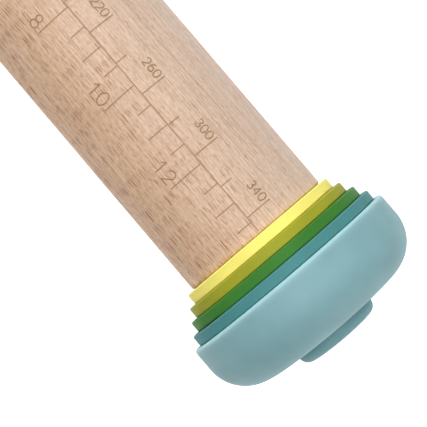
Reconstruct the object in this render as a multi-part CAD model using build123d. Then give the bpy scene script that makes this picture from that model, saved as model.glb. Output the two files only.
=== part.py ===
from build123d import *
import math
import os

# Adjustable rolling pin. A beech roller carries at each end four lift rings, a domed end disc
# and the screw plug that clamps them all to a threaded socket in the wood.
# The origin is the middle of the pin, +X runs along its axis and +Z is up. Millimetres.
# An end is modelled once, with +Z outwards from the roller's end face, and placed twice.

# Beech roller
ROLLER_LENGTH = 350.0
ROLLER_RADIUS = 21.5
ROLLER_EDGE = 0.8

# Lift rings, from the roller outwards: each lifts the roller one step more than the last
RING_NAMES = ("yellow", "olive", "green", "teal")
LIFT_STEP = 2.0
RING_THICKNESS = 3.05
RING_EDGE = 0.45
RING_RIM_WIDTH = 3.4
RING_HUB_WALL = 3.0
RING_RECESS_DEPTH = 1.1

# End disc: straight rim, round shoulder and shallow dome, moulded hollow round a hub
DISC_RIM_LENGTH = 6.4
DISC_SHOULDER_RADIUS = 11.5
DISC_DOME_RADIUS = 200.0
DISC_EDGE = 0.9
DISC_WALL = 2.6
DISC_HUB_WALL = 2.8
DISC_RIB_THICKNESS = 1.8
DISC_RIB_COUNT = 6

# Screw plug: knob, plain shoulder that the rings and disc sit on, and threaded tail
KNOB_RADIUS = 12.0
KNOB_SINK = 2.6
KNOB_BAND = 0.65
KNOB_ROUNDING = 2.5
KNOB_DOME_RADIUS = 85.0
KNOB_FLAT_RADIUS = 5.0
SHOULDER_RADIUS = 10.0
SHOULDER_EDGE = 0.4
CORE_RADIUS = 4.5
CORE_ROOF = 3.2
TIP_CHAMFER = 1.2
TIP_LENGTH = 1.4

# Coarse right-hand thread of the plug and the socket
THREAD_PITCH = 4.0
THREAD_TURNS = 6
THREAD_DEPTH = 1.5
THREAD_STEP = 0.5
RIDGE_BASE_WIDTH = 2.2
RIDGE_CREST_WIDTH = 1.1

# Threaded socket, glued and pressed into the roller's end
SOCKET_WALL = 2.2
SOCKET_FLOOR = 2.0
SOCKET_MOUTH_DEPTH = 3.0
SOCKET_FLANGE_WIDTH = 3.4
SOCKET_FLANGE_THICKNESS = 2.5
SOCKET_LEAD = 1.0
FIN_COUNT = 8
FIN_WIDTH = 1.6
FIN_BITE = 0.35
FIN_LENGTH = 22.0

# Fits and clearances, all of them radial but the last two
RUNNING_FIT = 0.06
RING_FIT = 0.1
MOUTH_FIT = 0.1
GLUE_GAP = 0.1
KNOB_GAP = 0.35
THREAD_FIT = 0.2
THREAD_FLANK_FIT = 0.25
END_PLAY = 1.6

# One overrun serves all cuts and joins
OVERRUN = 0.4

# Sizes that follow
STACK = len(RING_NAMES) * RING_THICKNESS
DISC_RADIUS = ROLLER_RADIUS + (len(RING_NAMES) + 1) * LIFT_STEP
RECESS_RADIUS = KNOB_RADIUS + KNOB_GAP
THREAD_TRAVEL = THREAD_TURNS * THREAD_PITCH
CREST_RADIUS = SHOULDER_RADIUS - THREAD_STEP
ROOT_RADIUS = CREST_RADIUS - THREAD_DEPTH
THREAD_LOW = -SOCKET_MOUTH_DEPTH - THREAD_TRAVEL
GROOVE_RADIUS = CREST_RADIUS + THREAD_FIT
SOCKET_RADIUS = GROOVE_RADIUS + SOCKET_WALL
SOCKET_FLOOR_TOP = THREAD_LOW - TIP_LENGTH - END_PLAY
SOCKET_LOW = SOCKET_FLOOR_TOP - SOCKET_FLOOR
WOOD_BORE_RADIUS = SOCKET_RADIUS + GLUE_GAP


def turned(outline):
    """Solid of revolution about Z of an outline in the XZ plane."""
    return revolve(make_face(outline), axis=Axis.Z)


def at_radius(radius, height):
    """Point of a turned outline."""
    return (radius, 0, height)


def domed_side(radius, rim_top, shoulder, dome, inset, inner_radius):
    """Curves up a rim, round its shoulder and over its dome to inner_radius, and the end's height.

    The dome's centre lies on the axis. An inset gives the parallel surface inside a wall.
    """
    shoulder_centre = radius - shoulder
    dome_centre = rim_top - math.sqrt((dome - shoulder) ** 2 - shoulder_centre ** 2)
    meet = math.atan2(shoulder_centre, rim_top - dome_centre)
    inner = math.asin(inner_radius / (dome - inset))

    def on_shoulder(angle):
        reach = shoulder - inset
        return at_radius(shoulder_centre + reach * math.sin(angle),
                         rim_top + reach * math.cos(angle))

    def on_dome(angle):
        reach = dome - inset
        return at_radius(reach * math.sin(angle), dome_centre + reach * math.cos(angle))

    square = math.pi / 2
    curves = [
        ThreePointArc(on_shoulder(square), on_shoulder((square + meet) / 2), on_shoulder(meet)),
        ThreePointArc(on_dome(meet), on_dome((meet + inner) / 2), on_dome(inner)),
    ]
    return curves, on_dome(inner)[2]


def disc_side(inset, inner_radius):
    """The end disc's shoulder and dome, from the disc's inner face."""
    return domed_side(DISC_RADIUS, DISC_RIM_LENGTH, DISC_SHOULDER_RADIUS, DISC_DOME_RADIUS,
                      inset, inner_radius)


DISC_LENGTH = disc_side(0, RECESS_RADIUS)[1]
DISC_SEAT = DISC_LENGTH - KNOB_SINK
HEAD_SEAT = STACK + DISC_SEAT


def make_roller():
    """Beech roller with a stepped blind bore in each end."""
    bore_depth = -SOCKET_LOW + GLUE_GAP
    flange_bore = SOCKET_RADIUS + SOCKET_FLANGE_WIDTH + GLUE_GAP
    half = ROLLER_LENGTH / 2
    roller = Cylinder(ROLLER_RADIUS, ROLLER_LENGTH)
    roller = fillet(roller.edges().filter_by(GeomType.CIRCLE), ROLLER_EDGE)
    for turn in (0, 180):
        bore = Cylinder(WOOD_BORE_RADIUS, bore_depth + OVERRUN,
                        align=(Align.CENTER, Align.CENTER, Align.MIN))
        step = Cylinder(flange_bore, SOCKET_FLANGE_THICKNESS + OVERRUN,
                        align=(Align.CENTER, Align.CENTER, Align.MIN))
        cutter = Pos(0, 0, half - bore_depth) * bore
        cutter += Pos(0, 0, half - SOCKET_FLANGE_THICKNESS) * step
        roller -= Rot(turn, 0, 0) * cutter
    return Rot(0, 90, 0) * roller


def make_ridge(inner_radius, outer_radius, inner_width, outer_width, low, turns):
    """Helical ridge of trapezoid section whose middle starts at height low on the +X side."""
    section = make_face(Polyline(
        at_radius(inner_radius, -inner_width / 2),
        at_radius(outer_radius, -outer_width / 2),
        at_radius(outer_radius, outer_width / 2),
        at_radius(inner_radius, inner_width / 2),
        close=True,
    ))
    path = Helix(pitch=THREAD_PITCH, height=turns * THREAD_PITCH, radius=outer_radius)
    return Pos(0, 0, low) * sweep(section, path=path, is_frenet=True)


def widened(width, rise):
    """Width of the ridge's section after it is carried down its flank slope by rise."""
    slope = (RIDGE_BASE_WIDTH - RIDGE_CREST_WIDTH) / THREAD_DEPTH
    return width + rise * slope


def make_tap():
    """Bore and helical groove of the socket's thread.

    The groove starts half a turn below the plug's ridge and runs out into the mouth. The bore
    spans all of it.
    """
    inner = ROOT_RADIUS - OVERRUN
    flank = 2 * THREAD_FLANK_FIT
    base_width = widened(RIDGE_BASE_WIDTH, ROOT_RADIUS - inner) + flank
    crest_width = widened(RIDGE_CREST_WIDTH, CREST_RADIUS - GROOVE_RADIUS) + flank
    lead_in = 0.5
    start = ridge_low() - lead_in * THREAD_PITCH
    run_out = -SOCKET_MOUTH_DEPTH + base_width / 2 + OVERRUN
    groove = make_ridge(inner, GROOVE_RADIUS, base_width, crest_width, start,
                        (run_out - start) / THREAD_PITCH)
    bore = Cylinder(ROOT_RADIUS + THREAD_FIT, run_out + base_width - SOCKET_FLOOR_TOP,
                    align=(Align.CENTER, Align.CENTER, Align.MIN))
    return Pos(0, 0, SOCKET_FLOOR_TOP) * bore + Rot(0, 0, -lead_in * 360) * groove


def make_socket():
    """Threaded socket: flange, barrel with grip fins, and the internal thread."""
    mouth = SHOULDER_RADIUS + MOUTH_FIT
    flange = SOCKET_RADIUS + SOCKET_FLANGE_WIDTH
    socket = turned(FilletPolyline(
        at_radius(mouth, 0),
        at_radius(flange, 0),
        at_radius(flange, -SOCKET_FLANGE_THICKNESS),
        at_radius(SOCKET_RADIUS, -SOCKET_FLANGE_THICKNESS),
        at_radius(SOCKET_RADIUS, SOCKET_LOW),
        at_radius(0, SOCKET_LOW),
        at_radius(0, -SOCKET_MOUTH_DEPTH),
        at_radius(mouth, -SOCKET_MOUTH_DEPTH),
        radius=[0, 0, 0, 0, SOCKET_LEAD, 0, 0, 0],
        close=True,
    ))
    bite = WOOD_BORE_RADIUS + FIN_BITE
    fin = Box(bite - SOCKET_RADIUS + OVERRUN, FIN_WIDTH, FIN_LENGTH,
              align=(Align.MAX, Align.CENTER, Align.MAX))
    fin = Pos(bite, 0, -SOCKET_FLANGE_THICKNESS) * fin
    for index in range(FIN_COUNT):
        socket += Rot(0, 0, index * 360 / FIN_COUNT) * fin
    relief = Cylinder(GROOVE_RADIUS + THREAD_FIT, THREAD_LOW - SOCKET_FLOOR_TOP,
                      align=(Align.CENTER, Align.CENTER, Align.MIN))
    return socket - Pos(0, 0, SOCKET_FLOOR_TOP) * relief - make_tap()


def ridge_low():
    """Height of the middle of the plug's ridge where it starts, at the tail."""
    return THREAD_LOW + RIDGE_BASE_WIDTH / 2


def ridge_turns():
    """Turns of the plug's ridge, which ends just short of the shoulder."""
    return (THREAD_TRAVEL - 2 * RIDGE_BASE_WIDTH) / THREAD_PITCH


def make_plug():
    """Screw plug: knob, shoulder and threaded tail, cored from its tip."""
    tip = THREAD_LOW - TIP_LENGTH
    shoulder_end = -SOCKET_MOUTH_DEPTH + SHOULDER_EDGE
    knob_curves, top = domed_side(
        KNOB_RADIUS, HEAD_SEAT + KNOB_SINK + KNOB_BAND, KNOB_ROUNDING, KNOB_DOME_RADIUS,
        0, KNOB_FLAT_RADIUS,
    )
    core_top = HEAD_SEAT - CORE_ROOF
    tail = Polyline(
        at_radius(0, top),
        at_radius(0, core_top),
        at_radius(CORE_RADIUS, core_top),
        at_radius(CORE_RADIUS, tip),
        at_radius(ROOT_RADIUS - TIP_CHAMFER, tip),
        at_radius(ROOT_RADIUS, tip + TIP_CHAMFER),
        at_radius(ROOT_RADIUS, shoulder_end),
        at_radius(SHOULDER_RADIUS - SHOULDER_EDGE, shoulder_end),
        at_radius(SHOULDER_RADIUS, shoulder_end + SHOULDER_EDGE),
        at_radius(SHOULDER_RADIUS, HEAD_SEAT),
        at_radius(KNOB_RADIUS, HEAD_SEAT),
        knob_curves[0] @ 0,
    )
    flat = Line(knob_curves[1] @ 1, at_radius(0, top))
    plug = turned([tail, *knob_curves, flat])
    inner = ROOT_RADIUS - OVERRUN
    ridge = make_ridge(inner, CREST_RADIUS, widened(RIDGE_BASE_WIDTH, ROOT_RADIUS - inner),
                       RIDGE_CREST_WIDTH, ridge_low(), ridge_turns())
    return plug + ridge


def make_ring(index):
    """Lift ring: full thickness at its rim and hub, with a thinner web between them."""
    bore = SHOULDER_RADIUS + RING_FIT
    hub = bore + RING_HUB_WALL
    rim = ROLLER_RADIUS + (index + 1) * LIFT_STEP
    web_outer = rim - RING_RIM_WIDTH
    web_top = RING_THICKNESS - RING_RECESS_DEPTH
    low = index * RING_THICKNESS
    edge = min(RING_EDGE, RING_THICKNESS / 3)
    ring = turned(FilletPolyline(
        at_radius(bore, 0),
        at_radius(rim, 0),
        at_radius(rim, RING_THICKNESS),
        at_radius(web_outer, RING_THICKNESS),
        at_radius(web_outer, web_top),
        at_radius(hub, web_top),
        at_radius(hub, RING_THICKNESS),
        at_radius(bore, RING_THICKNESS),
        radius=[0, edge, edge, 0, 0, 0, 0, 0],
        close=True,
    ))
    return Pos(0, 0, low) * ring


def make_disc():
    """Domed end disc: outer shell, hub with the knob's recess, and ribs between them."""
    bore = SHOULDER_RADIUS + RUNNING_FIT
    outer_curves, top = disc_side(0, RECESS_RADIUS)
    rim = Polyline(
        at_radius(RECESS_RADIUS, top),
        at_radius(RECESS_RADIUS, DISC_SEAT),
        at_radius(bore, DISC_SEAT),
        at_radius(bore, 0),
        at_radius(DISC_RADIUS - DISC_EDGE, 0),
    )
    edge = TangentArc(rim @ 1, at_radius(DISC_RADIUS, DISC_EDGE), tangent=(1, 0, 0))
    side = Line(edge @ 1, outer_curves[0] @ 0)
    disc = turned([rim, edge, side, *outer_curves])
    hub = bore + DISC_HUB_WALL
    recess_wall = RECESS_RADIUS + DISC_WALL
    hub_top = DISC_SEAT - DISC_WALL
    inner_curves, roof = disc_side(DISC_WALL, recess_wall)
    hollow_sides = Polyline(
        at_radius(recess_wall, roof),
        at_radius(recess_wall, hub_top),
        at_radius(hub, hub_top),
        at_radius(hub, -OVERRUN),
        at_radius(DISC_RADIUS - DISC_WALL, -OVERRUN),
        inner_curves[0] @ 0,
    )
    hollow = turned([hollow_sides, *inner_curves])
    rib = Box(DISC_RADIUS, DISC_RIB_THICKNESS, DISC_LENGTH + 2 * OVERRUN,
              align=(Align.MIN, Align.CENTER, Align.MIN))
    for index in range(DISC_RIB_COUNT):
        hollow -= Rot(0, 0, index * 360 / DISC_RIB_COUNT) * Pos(0, 0, -2 * OVERRUN) * rib
    return Pos(0, 0, STACK) * (disc - hollow)


def end_pieces():
    """Every piece of one end, by name, with +Z outwards from the roller's end face."""
    pieces = {"socket": make_socket(), "end_disc": make_disc(), "screw_plug": make_plug()}
    for index, colour in enumerate(RING_NAMES):
        pieces[f"{colour}_ring"] = make_ring(index)
    return pieces


def write_parts():
    """Write one STEP file for each piece of the pin."""
    os.makedirs("parts", exist_ok=True)
    export_step(make_roller(), "parts/roller.step")
    ends = {
        "right": Location(Plane((ROLLER_LENGTH / 2, 0, 0), x_dir=(0, 1, 0), z_dir=(1, 0, 0))),
        "left": Location(Plane((-ROLLER_LENGTH / 2, 0, 0), x_dir=(0, -1, 0), z_dir=(-1, 0, 0))),
    }
    for name, piece in end_pieces().items():
        for side, place in ends.items():
            export_step(place * piece, f"parts/{side}_{name}.step")


write_parts()
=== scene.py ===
"""Adjustable rolling pin: finishes, burnt scale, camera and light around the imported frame."""

import math

import bpy
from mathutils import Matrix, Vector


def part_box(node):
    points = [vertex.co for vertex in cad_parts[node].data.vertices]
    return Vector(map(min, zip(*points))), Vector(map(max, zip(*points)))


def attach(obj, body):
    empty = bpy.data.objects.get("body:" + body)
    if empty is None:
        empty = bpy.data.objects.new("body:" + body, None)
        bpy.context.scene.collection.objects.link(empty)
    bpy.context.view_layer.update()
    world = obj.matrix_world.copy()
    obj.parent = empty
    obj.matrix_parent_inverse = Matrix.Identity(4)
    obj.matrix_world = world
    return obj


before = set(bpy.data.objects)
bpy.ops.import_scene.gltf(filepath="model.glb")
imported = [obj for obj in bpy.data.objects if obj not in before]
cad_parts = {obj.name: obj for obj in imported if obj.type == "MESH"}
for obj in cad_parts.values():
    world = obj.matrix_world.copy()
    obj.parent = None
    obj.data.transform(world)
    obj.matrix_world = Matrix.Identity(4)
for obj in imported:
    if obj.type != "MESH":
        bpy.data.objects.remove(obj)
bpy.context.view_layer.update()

# Sizes are in metres. Those of the roller and the end discs come from the frame.
ROLLER_RADIUS = -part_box("roller")[0].z
ROLLER_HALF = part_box("roller")[1].x
ROLLER_EDGE = 0.0008
DISC_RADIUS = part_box("right_end_disc")[1].z
DISC_INNER_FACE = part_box("right_end_disc")[0].x
FLOOR_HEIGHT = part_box("right_end_disc")[0].z

# Grain of the beech: growth rings round a pith that lies far below the roller. Angles round
# the pith become lengths at its reach, which is about the way to the roller's top.
PITH_SIDE = -0.030
PITH_DEPTH = -0.125
PITH_REACH = 0.150
GRAIN_SLOPE = 0.012
GRAIN_WANDER = 0.0016
GRAIN_WANDER_LENGTH = 0.11
GRAIN_WANDER_WIDTH = 0.018
BAND_LENGTH = 0.16
BAND_PITCH = 0.0031

# Marks of the beech: size along the grain, round the pith and away from it
FLECK_SIZE = (0.0044, 0.00019, 0.002)
PORE_SIZE = (0.0016, 0.00021, 0.002)
STREAK_SIZE = (0.014, 0.0004, 0.004)
MOTTLE_SIZE = (0.0014, 0.0005, 0.0005)
TONE_SIZE = (0.16, 0.018, 0.018)

# Spindles that draw flecks and pores: share of the cells that hold one, half width in a cell,
# soft edge. They are heavier towards the roller's -Y side.
FLECK_SPINDLE = (0.7, 0.36, 0.10)
PORE_SPINDLE = (0.9, 0.5, 0.3)
SPINDLE_WEIGHT = 1.15
SPINDLE_WEIGHT_FALL = 16.0

# Colours of the beech, with the painted shade of its warm -Y side and the painted cool light of its
# +Y side, as sRGB channels from 0 to 255
SHADED_WARM_SIDE = (208, 168, 131)
LIT_COOL_SIDE = (206, 184, 167)
ROSY_CLOUD = (210, 174, 155)
GROWTH_BAND = (194, 159, 128)
DARK_STREAK = (178, 140, 109)
PALE_STREAK = (236, 210, 184)
PORE_BROWN = (161, 115, 83)
FLECK_BROWN = (140, 88, 56)
DARK_MOTTLE = (187, 151, 120)
PALE_MOTTLE = (236, 210, 187)
CHAR_BROWN = (140, 98, 50)

# Coats over the colour of the warm side, which is painted shade: pattern, where it sets in, how
# steeply, share and colour
BEECH_COATS = [
    # Painted light: the wood turns from warmer and darker at -Y, painted shade, to cooler and paler
    # at +Y, painted cool light
    ("side", -ROLLER_RADIUS, 0.5 / ROLLER_RADIUS, 1.00, LIT_COOL_SIDE),
    ("tone", 0.45, 4.0, 0.50, ROSY_CLOUD),
    ("bands", 0.52, 3.0, 0.30, GROWTH_BAND),
    ("streaks", 0.50, 3.5, 0.75, DARK_STREAK),
    ("streaks", 0.48, -3.5, 0.65, PALE_STREAK),
    ("pores", 0.0, 1.0, 0.60, PORE_BROWN),
    ("flecks", 0.0, 1.0, 1.00, FLECK_BROWN),
    ("mottle", 0.50, 4.0, 0.35, DARK_MOTTLE),
    ("mottle", 0.50, -4.0, 0.40, PALE_MOTTLE),
]
CHARS_PER_METRE = 1200.0
CHAR_SHARE = 0.50
CHAR_SPREAD = 0.35

# Surface of the beech: relief in metres, what raises or lowers it, and roughness
WOOD_RELIEF = 0.00006
WOOD_RELIEF_STRENGTH = 0.35
STREAK_RELIEF = 0.4
FLECK_RELIEF = -0.7
PORE_RELIEF = -0.3
WOOD_ROUGHNESS = 0.52
STREAK_ROUGHNESS = 0.12
FLECK_ROUGHNESS = 0.08

# Surface of the plastics: fine grain, and clouds that are a little darker and rougher
GRAINS_PER_METRE = 3600.0
PLASTIC_RELIEF = 0.00003
PLASTIC_RELIEF_STRENGTH = 0.25
CLOUDS_PER_METRE = 90.0
CLOUD_START = 0.35
CLOUD_SLOPE = 3.0
CLOUD_SHADE = 0.90
CLOUD_ROUGHNESS = 0.10

# Plastics: sRGB channels, roughness and gloss
PLASTICS = {
    "socket": ((214, 214, 208), 0.45, 0.15),
    "yellow_ring": ((255, 243, 127), 0.55, 0.15),
    "olive_ring": ((165, 165, 46), 0.55, 0.15),
    "green_ring": ((60, 125, 47), 0.55, 0.15),
    "teal_ring": ((77, 138, 140), 0.55, 0.15),
    "end_disc": ((130, 172, 178), 0.52, 0.35),
    # Painted shade: the screw plug is the same plastic as the end disc, painted darker to stand in
    # for the shade that falls on it beside the disc
    "screw_plug": ((116, 161, 166), 0.55, 0.35),
}

# Painted highlight: a pale edge of the end discs, round their inner face
DISC_PAINTED_HIGHLIGHT = (182, 227, 231)
DISC_HIGHLIGHT_WIDTH = 0.0028
DISC_HIGHLIGHT_SHARE = 0.9
DISC_HIGHLIGHT_FADE = 3.0

# Burnt scale: lengths across it are arcs round the roller from its top line, towards +Y.
# A mark numbered N lies half of N units from the middle of the roller.
LINE_WIDTH = 0.00036
LINE_RISE = 0.00003
LINE_SINK = 0.00006
BASE_LINE = 0.00125
INCH = 0.0254
MILLIMETRE = 0.001
VALUE_SHARE = 0.5
HALF_INCH_TICK = 0.0044
ODD_INCH_TICK = 0.0061
EVEN_INCH_TICK = 0.0099
SHORT_METRIC_TICK = 0.0034
LONG_METRIC_TICK = 0.0075
INCH_NUMERAL = 0.0038
INCH_NUMERAL_GAP = 0.00104
INCH_NUMERAL_DROP = 0.0003
METRIC_NUMERAL = 0.0024
METRIC_NUMERAL_GAP = 0.00069
DIGIT_WIDTH_SHARE = 0.63
DIGIT_ADVANCE_SHARE = 0.82
DIGIT_PLACES = 3
QUOTIENT_SURPLUS = 0.001
STROKE_STEP = 0.0004

# Points of a tick, so that it bends round the roller, and of a digit's bow
TICK_POINTS = 16
BOW_POINTS = 48

# Rows of ticks: unit, first value, step and length
TICK_ROWS = [
    (INCH, 0.5, 1.0, -HALF_INCH_TICK),
    (INCH, 1.0, 2.0, -ODD_INCH_TICK),
    (INCH, 2.0, 2.0, -EVEN_INCH_TICK),
    (MILLIMETRE, 40.0, 40.0, SHORT_METRIC_TICK),
    (MILLIMETRE, 20.0, 40.0, LONG_METRIC_TICK),
]

# Rows of numerals: unit, first value, step, height, gap to the tick and rise over the base line
NUMERAL_ROWS = [
    (INCH, 2.0, 2.0, INCH_NUMERAL, INCH_NUMERAL_GAP, -EVEN_INCH_TICK - INCH_NUMERAL_DROP),
    (MILLIMETRE, 20.0, 40.0, METRIC_NUMERAL, METRIC_NUMERAL_GAP, LONG_METRIC_TICK - METRIC_NUMERAL),
]

# Inputs of the scale's own tree
SCALE_SIZES = {
    "Roller Radius": ROLLER_RADIUS,
    "Base Line": BASE_LINE,
    "Base Length": 2 * (ROLLER_HALF - ROLLER_EDGE),
    "Line Width": LINE_WIDTH,
    "Line Rise": LINE_RISE,
    "Line Sink": LINE_SINK,
}

# Strokes of the digits that the scale has, as shares of a digit's width and height:
# a bar's two ends, or a bow's middle, half sizes, first angle and sweep in degrees
DIGIT_STROKE_SHARES = {
    0: [(0, 0.5, 0.5, 0.5, 0, 360)],
    1: [(0, 0, 0, 1), (0, 1, -0.4, 0.74)],
    2: [(0, 0.7, 0.46, 0.3, 165, -205), (0.36, 0.5, -0.46, 0), (-0.46, 0, 0.5, 0)],
    3: [(0, 0.76, 0.4, 0.24, 155, -245), (0, 0.27, 0.46, 0.27, 90, -245)],
    4: [(0.22, 0, 0.22, 1), (0.22, 1, -0.5, 0.3), (-0.5, 0.3, 0.5, 0.3)],
    6: [(0, 0.31, 0.46, 0.31, 0, 360), (0.34, 0.31, 0.8, 0.69, 180, -85)],
    8: [(0, 0.76, 0.38, 0.24, 0, 360), (0, 0.27, 0.47, 0.27, 0, 360)],
}

# Camera, as the photograph was framed
CAMERA_PLACE = (0.17516, 0.0, 0.38603)
CAMERA_YAW = math.radians(1.7814)
CAMERA_PITCH = math.radians(-0.6899)
CAMERA_ROLL = math.radians(49.595)
CAMERA_LENS = 125.1
CAMERA_NEAR = 0.01
SENSOR_WIDTH = 36.0

# Square soft lamps that face the roller's right-hand end: place, size and power in watts
LAMPS = {
    "key_lamp": ((0.175, 0.0, 1.3), 0.5, 9.2),
    "left_lamp": ((-0.65, -0.45, 0.7), 0.5, 2.3),
    "right_lamp": ((-0.65, 0.45, 0.7), 0.5, 6.6),
    "end_lamp": ((0.405, 0.045, 0.015), 0.1, 0.105),
}
SKY_LIGHT = 0.16

# White floor: its glow keeps it white to the eye, and grows where the lamps' light falls off
FLOOR_WHITE = (244, 244, 244)
FLOOR_REACH = 6.0
FLOOR_GLOW = 0.70
FAR_GLOW = 0.15
GLOW_START = 0.35
GLOW_RISE = 0.80


def paint(channels):
    """Linear colour of sRGB channels that go from 0 to 255."""
    shares = [channel / 255 for channel in channels]
    linear = [share / 12.92 if share <= 0.04045 else ((share + 0.055) / 1.055) ** 2.4
              for share in shares]
    return (*linear, 1.0)


class Number:
    """A number socket: Python's operators on it add Math nodes to its tree."""

    def __init__(self, graph, socket):
        self.graph, self.socket = graph, socket

    def __add__(self, other):
        return self.graph.maths("ADD", self, other)

    def __sub__(self, other):
        return self.graph.maths("SUBTRACT", self, other)

    def __rsub__(self, other):
        return self.graph.maths("SUBTRACT", other, self)

    def __mul__(self, other):
        return self.graph.maths("MULTIPLY", self, other)

    def __truediv__(self, other):
        return self.graph.maths("DIVIDE", self, other)

    def __pow__(self, other):
        return self.graph.maths("POWER", self, other)

    __radd__ = __add__
    __rmul__ = __mul__

    def clamped(self):
        """This number kept from 0 to 1."""
        return self.graph.maths("MINIMUM", self.graph.maths("MAXIMUM", self, 0.0), 1.0)

    def ramp(self, start, slope):
        """Share from 0 to 1: nothing at a start, and growing with a slope from there."""
        return ((self - start) * slope).clamped()


class Graph:
    """A node tree under construction."""

    def __init__(self, tree):
        self.tree = tree

    def fill(self, node, inputs):
        """Give sockets of a node their values or links."""
        for key, value in inputs.items():
            value = getattr(value, "socket", value)
            if isinstance(value, bpy.types.NodeSocket):
                self.tree.links.new(value, node.inputs[key])
            else:
                node.inputs[key].default_value = value

    def add(self, kind, settings=None, inputs=None):
        """New node of a type: its settings come first, then its sockets' values or links."""
        node = self.tree.nodes.new(kind)
        for name, value in (settings or {}).items():
            setattr(node, name, value)
        self.fill(node, inputs or {})
        return node

    def number(self, kind, settings=None, inputs=None):
        """New node's first output as a number for expressions."""
        return Number(self, self.add(kind, settings, inputs).outputs[0])

    def maths(self, operation, *values):
        """Number that a Math node works out."""
        return self.number("ShaderNodeMath", {"operation": operation}, dict(enumerate(values)))

    def vector(self, x, y, z):
        """Vector of three numbers."""
        return self.add("ShaderNodeCombineXYZ", None, {0: x, 1: y, 2: z}).outputs[0]

    def split(self, vector):
        """The three numbers of a vector."""
        node = self.add("ShaderNodeSeparateXYZ", None, {0: vector})
        return [Number(self, output) for output in node.outputs]

    def place(self):
        """The three coordinates of the object, as numbers."""
        return self.split(self.add("ShaderNodeTexCoord").outputs["Object"])

    def noise(self, vector, detail, scale=1.0):
        """Smooth noise from 0 to 1 at a vector."""
        return self.number("ShaderNodeTexNoise", {"noise_dimensions": "3D"},
                           {"Vector": vector, "Scale": scale, "Detail": detail})

    def mixed(self, factor, first, second):
        """Colour mixed from two others."""
        node = self.add("ShaderNodeMix", {"data_type": "RGBA"}, {0: factor, 6: first, 7: second})
        return node.outputs[2]

    def bumped(self, strength, relief, height):
        """Normal of a surface with a shallow relief."""
        node = self.add("ShaderNodeBump", None,
                        {"Strength": strength, "Distance": relief, "Height": height})
        return node.outputs[0]


def empty_graph(owner):
    """Node tree of a new material or world, without its first nodes."""
    owner.use_nodes = True
    owner.node_tree.nodes.clear()
    return Graph(owner.node_tree)


def new_finish(name):
    """A new material, its graph and its only shader."""
    material = bpy.data.materials.new(name)
    graph = empty_graph(material)
    shader = graph.add("ShaderNodeBsdfPrincipled")
    graph.add("ShaderNodeOutputMaterial", None, {"Surface": shader.outputs[0]})
    return material, graph, shader


def spindles(graph, cell, weight, spindle):
    """Mask of small spindles, one in a share of the cells of a stretched space."""
    share, half_width, softness = spindle
    voronoi = graph.add("ShaderNodeTexVoronoi", {"voronoi_dimensions": "3D", "feature": "F1"},
                        {"Vector": cell, "Scale": 1.0})
    chance = graph.number("ShaderNodeSeparateColor", None, {0: voronoi.outputs["Color"]})
    distance = Number(graph, voronoi.outputs["Distance"])
    size = (chance - (1.0 - share)) * (weight * (half_width / share))
    return ((size - distance) / softness).clamped()


def beech(name, burnt):
    """Oiled beech as a solid texture, or the same wood where the scale is burnt into it."""
    material, graph, shader = new_finish(name)
    along, side, height = graph.place()
    drift = graph.vector(along / GRAIN_WANDER_LENGTH, side / GRAIN_WANDER_WIDTH, 0.0)
    wander = (graph.noise(drift, detail=1.0) - 0.5) * GRAIN_WANDER
    from_pith = side - PITH_SIDE
    over_pith = height - PITH_DEPTH
    radius = (from_pith * from_pith + over_pith * over_pith) ** 0.5 + along * GRAIN_SLOPE + wander
    tangent = graph.maths("ARCTAN2", from_pith, over_pith) * PITH_REACH + wander

    def cells(size):
        """Space that is stretched so that a mark of a size fills about one cell of it."""
        return graph.vector(along / size[0], tangent / size[1], radius / size[2])

    weight = SPINDLE_WEIGHT - side * SPINDLE_WEIGHT_FALL
    flecks = spindles(graph, cells(FLECK_SIZE), weight, FLECK_SPINDLE)
    pores = spindles(graph, cells(PORE_SIZE), weight, PORE_SPINDLE)
    streaks = graph.noise(cells(STREAK_SIZE), detail=3.0)
    bands = graph.vector(along / BAND_LENGTH, 0.0, radius / BAND_PITCH)
    patterns = {
        # The side pattern is the mask of the painted light and shade across the roller
        "side": side,
        "tone": graph.noise(cells(TONE_SIZE), detail=2.0),
        "bands": graph.noise(bands, detail=1.0),
        "streaks": streaks,
        "pores": pores,
        "flecks": flecks,
        "mottle": graph.noise(cells(MOTTLE_SIZE), detail=2.0),
    }
    # The wood starts from the warm side's painted-shade colour, and the first coat paints cool
    # light towards +Y
    colour = paint(SHADED_WARM_SIDE)
    for pattern, start, slope, share, tint in BEECH_COATS:
        colour = graph.mixed(patterns[pattern].ramp(start, slope) * share, colour, paint(tint))
    if burnt:
        char = graph.noise(graph.vector(along, side, height), detail=2.0, scale=CHARS_PER_METRE)
        colour = graph.mixed(CHAR_SHARE + CHAR_SPREAD * char, colour, paint(CHAR_BROWN))
    relief = streaks * STREAK_RELIEF + flecks * FLECK_RELIEF + pores * PORE_RELIEF
    graph.fill(shader, {
        "Base Color": colour,
        "Roughness": WOOD_ROUGHNESS + STREAK_ROUGHNESS * streaks + FLECK_ROUGHNESS * flecks,
        "Normal": graph.bumped(WOOD_RELIEF_STRENGTH, WOOD_RELIEF, relief),
    })
    return material


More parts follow.
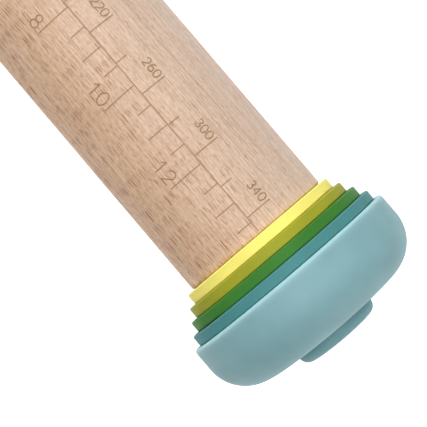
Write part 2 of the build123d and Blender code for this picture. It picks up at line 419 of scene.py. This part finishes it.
def moulded(name, colour, roughness, gloss, painted_highlight=None):
    """Moulded plastic: clouded tone, fine satin grain and, on the discs, a painted highlight along
    the inner edge.
    """
    material, graph, shader = new_finish(name)
    along, side, height = graph.place()
    where = graph.vector(along, side, height)
    cloud = graph.noise(where, detail=3.0, scale=CLOUDS_PER_METRE)
    grain = graph.noise(where, detail=2.0, scale=GRAINS_PER_METRE)
    clear = paint(colour)
    clouded = (*(CLOUD_SHADE * channel for channel in clear[:3]), 1.0)
    tint = graph.mixed(cloud.ramp(CLOUD_START, CLOUD_SLOPE), clear, clouded)
    if painted_highlight:
        # Painted highlight: pale colour mixed in near the rim, fading away from the inner face
        radius = (side * side + height * height) ** 0.5
        off_face = graph.maths("ABSOLUTE", along).ramp(DISC_INNER_FACE, 1.0 / DISC_HIGHLIGHT_WIDTH)
        near_rim = radius.ramp(DISC_RADIUS - DISC_HIGHLIGHT_WIDTH, 1.0 / DISC_HIGHLIGHT_WIDTH)
        share = (1.0 - off_face) ** DISC_HIGHLIGHT_FADE * near_rim * DISC_HIGHLIGHT_SHARE
        tint = graph.mixed(share, tint, paint(painted_highlight))
    graph.fill(shader, {
        "Base Color": tint,
        "Roughness": roughness + CLOUD_ROUGHNESS * cloud,
        "Specular IOR Level": gloss,
        "Normal": graph.bumped(PLASTIC_RELIEF_STRENGTH, PLASTIC_RELIEF, grain),
    })
    return material


def new_tree(name, sizes, counts=()):
    """Graph of a new geometry tree, and its named inputs as numbers."""
    tree = bpy.data.node_groups.new(name, "GeometryNodeTree")
    for count in counts:
        tree.interface.new_socket(count, in_out="INPUT", socket_type="NodeSocketInt")
    for size in sizes:
        tree.interface.new_socket(size, in_out="INPUT", socket_type="NodeSocketFloat")
    tree.interface.new_socket("Geometry", in_out="OUTPUT", socket_type="NodeSocketGeometry")
    graph = Graph(tree)
    inputs = graph.add("NodeGroupInput").outputs
    return graph, {socket.name: Number(graph, socket) for socket in inputs if socket.name}


def end_tree(graph, geometry):
    """Give a tree its result."""
    graph.add("NodeGroupOutput", None, {0: geometry})
    return graph.tree


def tick_row_tree():
    """A row of thin ticks along X that stand on the base line, from a first value in steps."""
    sizes = ("Side", "First", "Step", "Unit", "Length", "Width", "Thickness", "Foot")
    graph, given = new_tree("tick_row", sizes, counts=("Count",))
    unit = given["Side"] * given["Unit"]
    row = graph.add("GeometryNodeMeshLine", {"mode": "OFFSET"}, {
        "Count": given["Count"],
        "Start Location": graph.vector(given["First"] * unit,
                                       given["Foot"] + given["Length"] / 2, 0.0),
        "Offset": graph.vector(given["Step"] * unit, 0.0, 0.0),
    })
    length = graph.maths("ABSOLUTE", given["Length"])
    tick = graph.add("GeometryNodeMeshCube", None, {
        "Size": graph.vector(given["Width"], length, given["Thickness"]),
        "Vertices Y": TICK_POINTS,
    })
    placed = graph.add("GeometryNodeInstanceOnPoints", None,
                       {"Points": row.outputs["Mesh"], "Instance": tick.outputs["Mesh"]})
    return end_tree(graph, placed.outputs[0])


def digit_tree(digit):
    """Strokes of one digit, as curves that stand on Y = 0 about X = 0."""
    graph, given = new_tree(f"digit_{digit}", ("Width", "Height"))
    strokes = graph.add("GeometryNodeJoinGeometry")
    for shares in DIGIT_STROKE_SHARES.get(digit, []):
        if len(shares) == 4:
            stroke = graph.add("GeometryNodeCurvePrimitiveLine", None, {
                "Start": (*shares[:2], 0.0), "End": (*shares[2:], 0.0),
            })
        else:
            bow = graph.add("GeometryNodeCurveArc", {"mode": "RADIUS"}, {
                "Resolution": BOW_POINTS, "Radius": 1.0,
                "Start Angle": math.radians(shares[4]), "Sweep Angle": math.radians(shares[5]),
            })
            stroke = graph.add("GeometryNodeTransform", None, {
                "Geometry": bow.outputs[0], "Translation": (*shares[:2], 0.0),
                "Scale": (*shares[2:4], 1.0),
            })
        graph.fill(strokes, {0: stroke.outputs[0]})
    sized = graph.add("GeometryNodeTransform", None, {
        "Geometry": strokes.outputs[0],
        "Scale": graph.vector(given["Width"], given["Height"], 1.0),
    })
    whole = graph.add("GeometryNodeGeometryToInstance", None, {0: sized.outputs[0]})
    return end_tree(graph, whole.outputs[0])


def numeral_row_tree():
    """A row of numerals as curves, each on the inner side of its tick."""
    sizes = ("Side", "First", "Step", "Unit", "Height", "Foot", "Gap")
    graph, given = new_tree("numeral_row", sizes, counts=("Count",))
    # What is joined last comes first, so a digit is also its place among the digits
    digits = graph.add("GeometryNodeJoinGeometry")
    for digit in reversed(range(10)):
        drawn = graph.add("GeometryNodeGroup", {"node_tree": digit_tree(digit)}, {
            "Width": given["Height"] * DIGIT_WIDTH_SHARE, "Height": given["Height"],
        })
        graph.fill(digits, {0: drawn.outputs[0]})
    value = given["First"] + given["Step"] * graph.number("GeometryNodeInputIndex")
    # Whether a value has a digit at each place, units first
    has_place = [graph.maths("GREATER_THAN", value, 10.0 ** place - 0.5)
                 for place in range(DIGIT_PLACES)]
    advance = given["Height"] * DIGIT_ADVANCE_SHARE
    inner_end = given["Side"] * (value * given["Unit"] - given["Gap"])
    last_digit = inner_end + advance * (sum(has_place) * (1.0 - given["Side"]) / 2 - 0.5)
    row = graph.add("GeometryNodeMeshLine", None, {"Count": given["Count"]})
    numerals = graph.add("GeometryNodeJoinGeometry")
    for place in range(DIGIT_PLACES):
        spots = graph.add("GeometryNodeSetPosition", None, {
            "Geometry": row.outputs[0],
            "Position": graph.vector(last_digit - advance * place, given["Foot"], 0.0),
        })
        # The surplus keeps a whole quotient from being rounded down
        leading_digits = graph.maths("FLOOR", value / 10.0 ** place + QUOTIENT_SURPLUS)
        placed = graph.add("GeometryNodeInstanceOnPoints", None, {
            "Points": spots.outputs[0], "Selection": has_place[place],
            "Instance": digits.outputs[0], "Pick Instance": True,
            "Instance Index": graph.maths("MODULO", leading_digits, 10.0),
        })
        graph.fill(numerals, {0: placed.outputs[0]})
    return end_tree(graph, numerals.outputs[0])


def scale_tree(material):
    """The whole scale: base line, inch side towards -Y and metric side towards +Y."""
    ticks, numerals = tick_row_tree(), numeral_row_tree()
    graph, given = new_tree("burnt_scale", SCALE_SIZES)
    solids = graph.add("GeometryNodeJoinGeometry")
    curves = graph.add("GeometryNodeJoinGeometry")
    width, base_line, radius = given["Line Width"], given["Base Line"], given["Roller Radius"]
    thickness = given["Line Rise"] + given["Line Sink"]

    def join_row(tree, parts, side, unit, first, step, sizes):
        """Join a row of marks that goes on as far as the wood does."""
        value_length = unit * VALUE_SHARE
        count = int((ROLLER_HALF / value_length - first) / step) + 1
        node = graph.add("GeometryNodeGroup", {"node_tree": tree}, {
            "Count": count, "Side": side, "First": first, "Step": step, "Unit": value_length,
            **sizes,
        })
        graph.fill(parts, {0: node.outputs[0]})

    for side in (1.0, -1.0):
        for unit, first, step, length in TICK_ROWS:
            join_row(ticks, solids, side, unit, first, step, {
                "Length": length, "Width": width, "Thickness": thickness, "Foot": base_line,
            })
        for unit, first, step, height, gap, rise in NUMERAL_ROWS:
            join_row(numerals, curves, side, unit, first, step, {
                "Height": height, "Gap": gap, "Foot": base_line + rise,
            })
    bar = graph.add("GeometryNodeMeshCube", None,
                    {"Size": graph.vector(given["Base Length"], width, thickness)})
    base = graph.add("GeometryNodeTransform", None, {
        "Geometry": bar.outputs[0], "Translation": graph.vector(0.0, base_line, 0.0),
    })
    graph.fill(solids, {0: base.outputs[0]})
    drawn = graph.add("GeometryNodeRealizeInstances", None, {"Geometry": curves.outputs[0]})
    stepped = graph.add("GeometryNodeResampleCurve", {"mode": "LENGTH"},
                        {"Curve": drawn.outputs[0], "Length": STROKE_STEP})
    profile = graph.add("GeometryNodeCurvePrimitiveQuadrilateral", {"mode": "RECTANGLE"},
                        {"Width": width, "Height": thickness})
    strokes = graph.add("GeometryNodeCurveToMesh", None, {
        "Curve": stepped.outputs[0], "Profile Curve": profile.outputs[0], "Fill Caps": True,
    })
    graph.fill(solids, {0: strokes.outputs[0]})
    flat = graph.add("GeometryNodeRealizeInstances", None, {"Geometry": solids.outputs[0]})
    x, arc, height = graph.split(graph.add("GeometryNodeInputPosition").outputs[0])
    angle = arc / radius
    reach = height + radius + (given["Line Rise"] - given["Line Sink"]) / 2
    round_roller = graph.vector(x, graph.maths("SINE", angle) * reach,
                                graph.maths("COSINE", angle) * reach)
    wrapped = graph.add("GeometryNodeSetPosition", None,
                        {"Geometry": flat.outputs[0], "Position": round_roller})
    coated = graph.add("GeometryNodeSetMaterial", None,
                       {"Geometry": wrapped.outputs[0], "Material": material})
    return end_tree(graph, coated.outputs[0])


def grown(tree, sizes, name):
    """The plain mesh object that a geometry tree makes with its inputs at these sizes."""
    host = bpy.data.objects.new(name + "_host", bpy.data.meshes.new(name + "_host"))
    bpy.context.scene.collection.objects.link(host)
    modifier = host.modifiers.new("tree", "NODES")
    modifier.node_group = tree
    for socket in tree.interface.items_tree:
        if socket.in_out == "INPUT":
            modifier[socket.identifier] = sizes[socket.name]
    depsgraph = bpy.context.evaluated_depsgraph_get()
    mesh = bpy.data.meshes.new_from_object(host.evaluated_get(depsgraph))
    mesh.name = name
    bpy.data.objects.remove(host)
    piece = bpy.data.objects.new(name, mesh)
    bpy.context.scene.collection.objects.link(piece)
    return piece


def coat(node, material):
    """Give a node of the frame its finish."""
    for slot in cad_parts[node].material_slots:
        slot.material = material


def dress_pieces():
    """Finishes of the roller and of the plastic pieces at both ends."""
    coat("roller", beech("beech_wood", burnt=False))
    for piece, (colour, roughness, gloss) in PLASTICS.items():
        # Only the end discs get the painted highlight round their inner edge
        painted_highlight = DISC_PAINTED_HIGHLIGHT if piece == "end_disc" else None
        finish = moulded(piece + "_plastic", colour, roughness, gloss, painted_highlight)
        for side in ("left", "right"):
            coat(f"{side}_{piece}", finish)


def add_scale():
    """Burn the scale into the roller."""
    tree = scale_tree(beech("burnt_beech", burnt=True))
    scale = grown(tree, SCALE_SIZES, "burnt_scale")
    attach(scale, "roller")


def add_camera():
    """Camera over the right end, framed as the photograph."""
    camera = bpy.data.objects.new("camera", bpy.data.cameras.new("camera"))
    camera.data.sensor_width = SENSOR_WIDTH
    camera.data.lens = CAMERA_LENS
    camera.data.clip_start = CAMERA_NEAR
    camera.location = CAMERA_PLACE
    camera.rotation_mode = "ZXY"
    camera.rotation_euler = (CAMERA_PITCH, CAMERA_YAW, CAMERA_ROLL)
    bpy.context.scene.collection.objects.link(camera)
    bpy.context.scene.camera = camera


def add_lamp(name, place, size, power):
    """Square soft lamp that faces the roller's right-hand end."""
    lamp = bpy.data.objects.new(name, bpy.data.lights.new(name, "AREA"))
    lamp.data.size = size
    lamp.data.energy = power
    lamp.location = place
    aim = lamp.location * -1
    aim.x += ROLLER_HALF
    lamp.rotation_mode = "QUATERNION"
    lamp.rotation_quaternion = aim.to_track_quat("-Z", "Y")
    bpy.context.scene.collection.objects.link(lamp)


def seen_directly(graph):
    """One on rays from the camera, gloss and glass, which show the background, else zero."""
    rays = graph.add("ShaderNodeLightPath").outputs
    seen = Number(graph, rays["Is Camera Ray"]) + rays["Is Glossy Ray"]
    return (seen + rays["Is Transmission Ray"]).clamped()


def add_floor():
    """Plain white floor under the end discs, with the object's shadow."""
    mesh = bpy.data.meshes.new("floor")
    corners = [(-FLOOR_REACH, -FLOOR_REACH), (FLOOR_REACH, -FLOOR_REACH),
               (FLOOR_REACH, FLOOR_REACH), (-FLOOR_REACH, FLOOR_REACH)]
    mesh.from_pydata([(x, y, FLOOR_HEIGHT) for x, y in corners], [], [(0, 1, 2, 3)])
    floor = bpy.data.objects.new("floor", mesh)
    bpy.context.scene.collection.objects.link(floor)
    material = bpy.data.materials.new("floor_white")
    graph = empty_graph(material)
    matt = graph.add("ShaderNodeBsdfDiffuse", None, {"Color": paint(FLOOR_WHITE)})
    x, y, _ = graph.place()
    away = ((x * x + y * y) ** 0.5).ramp(GLOW_START, 1.0 / GLOW_RISE)
    glow = graph.add("ShaderNodeEmission", None,
                     {"Strength": seen_directly(graph) * (FLOOR_GLOW + FAR_GLOW * away)})
    both = graph.add("ShaderNodeAddShader", None, {0: matt.outputs[0], 1: glow.outputs[0]})
    graph.add("ShaderNodeOutputMaterial", None, {"Surface": both.outputs[0]})
    mesh.materials.append(material)


def add_world():
    """Soft white surroundings: white where they are seen, gentler as light."""
    world = bpy.data.worlds.new("studio")
    graph = empty_graph(world)
    sky = graph.add("ShaderNodeBackground", None, {
        "Color": (1.0, 1.0, 1.0, 1.0),
        "Strength": SKY_LIGHT + (1.0 - SKY_LIGHT) * seen_directly(graph),
    })
    graph.add("ShaderNodeOutputWorld", None, {"Surface": sky.outputs[0]})
    bpy.context.scene.world = world


def add_studio():
    """Floor, surroundings and lamps, at a level that renders colours about as written."""
    add_floor()
    add_world()
    for name, (place, size, power) in LAMPS.items():
        add_lamp(name, place, size, power)


bpy.context.scene.view_settings.view_transform = "Standard"
dress_pieces()
add_scale()
add_camera()
add_studio()
bpy.context.view_layer.update()
